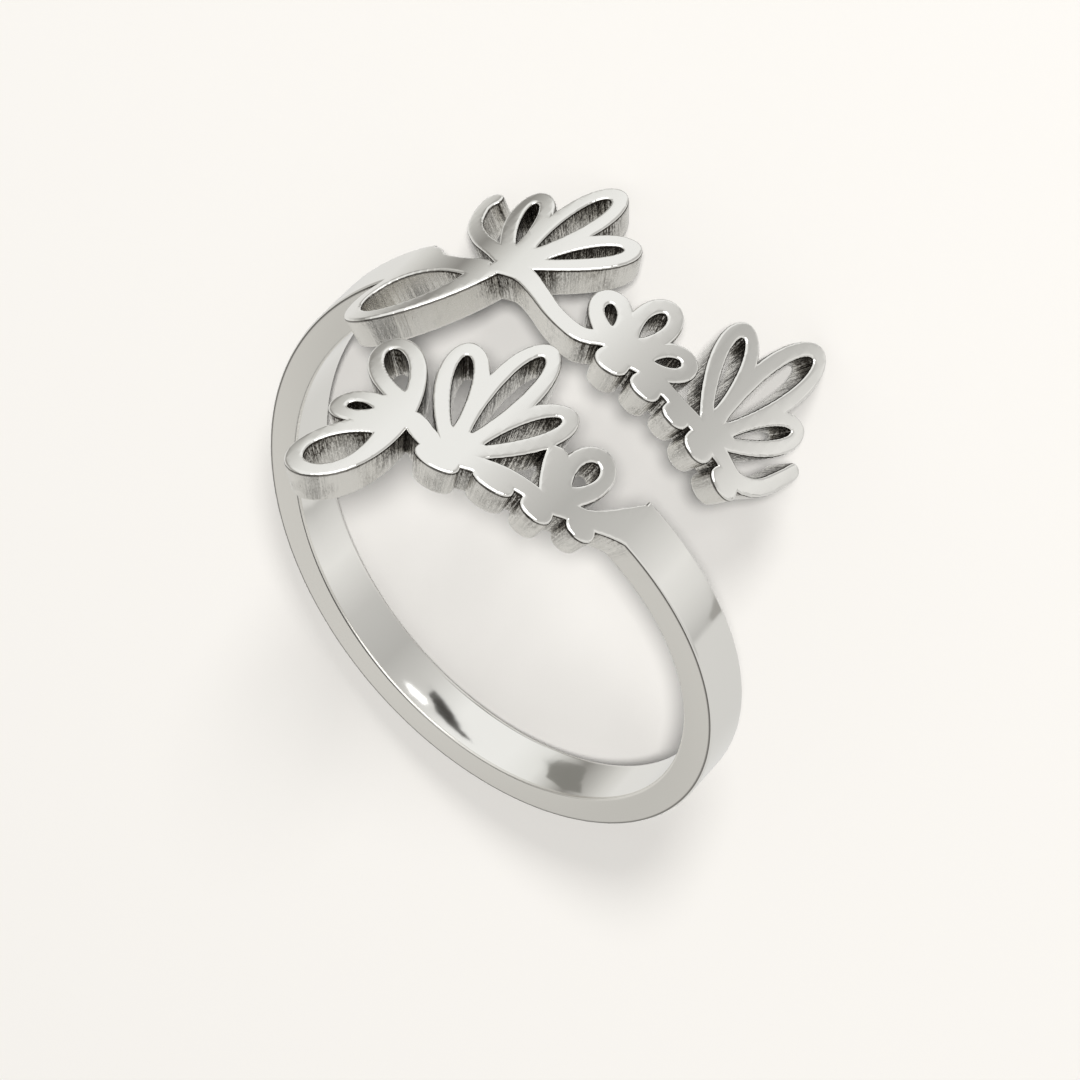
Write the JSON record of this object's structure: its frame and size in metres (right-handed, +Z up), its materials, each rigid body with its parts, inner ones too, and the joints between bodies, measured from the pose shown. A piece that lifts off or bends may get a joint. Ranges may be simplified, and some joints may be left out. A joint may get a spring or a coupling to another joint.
{
  "type": "ring",
  "caption": "Polished silver bypass finger ring: a narrow rolled band whose two ends run into pierced scrolls that cross the finger side by side.",
  "frame": {"origin": "centre of the footprint, on the surface that the ring rests on", "axes": "+Z up from that surface, -Y towards the scrolls, X across them; the finger hole's axis leans from +Z towards +Y"},
  "size_m": [0.0194, 0.0204, 0.016],
  "materials": {
    "silver": "polished sterling silver, with cut edges left striated"
  },
  "bodies": {
    "root": {"ring": "silver"}
  },
  "joints": []
}
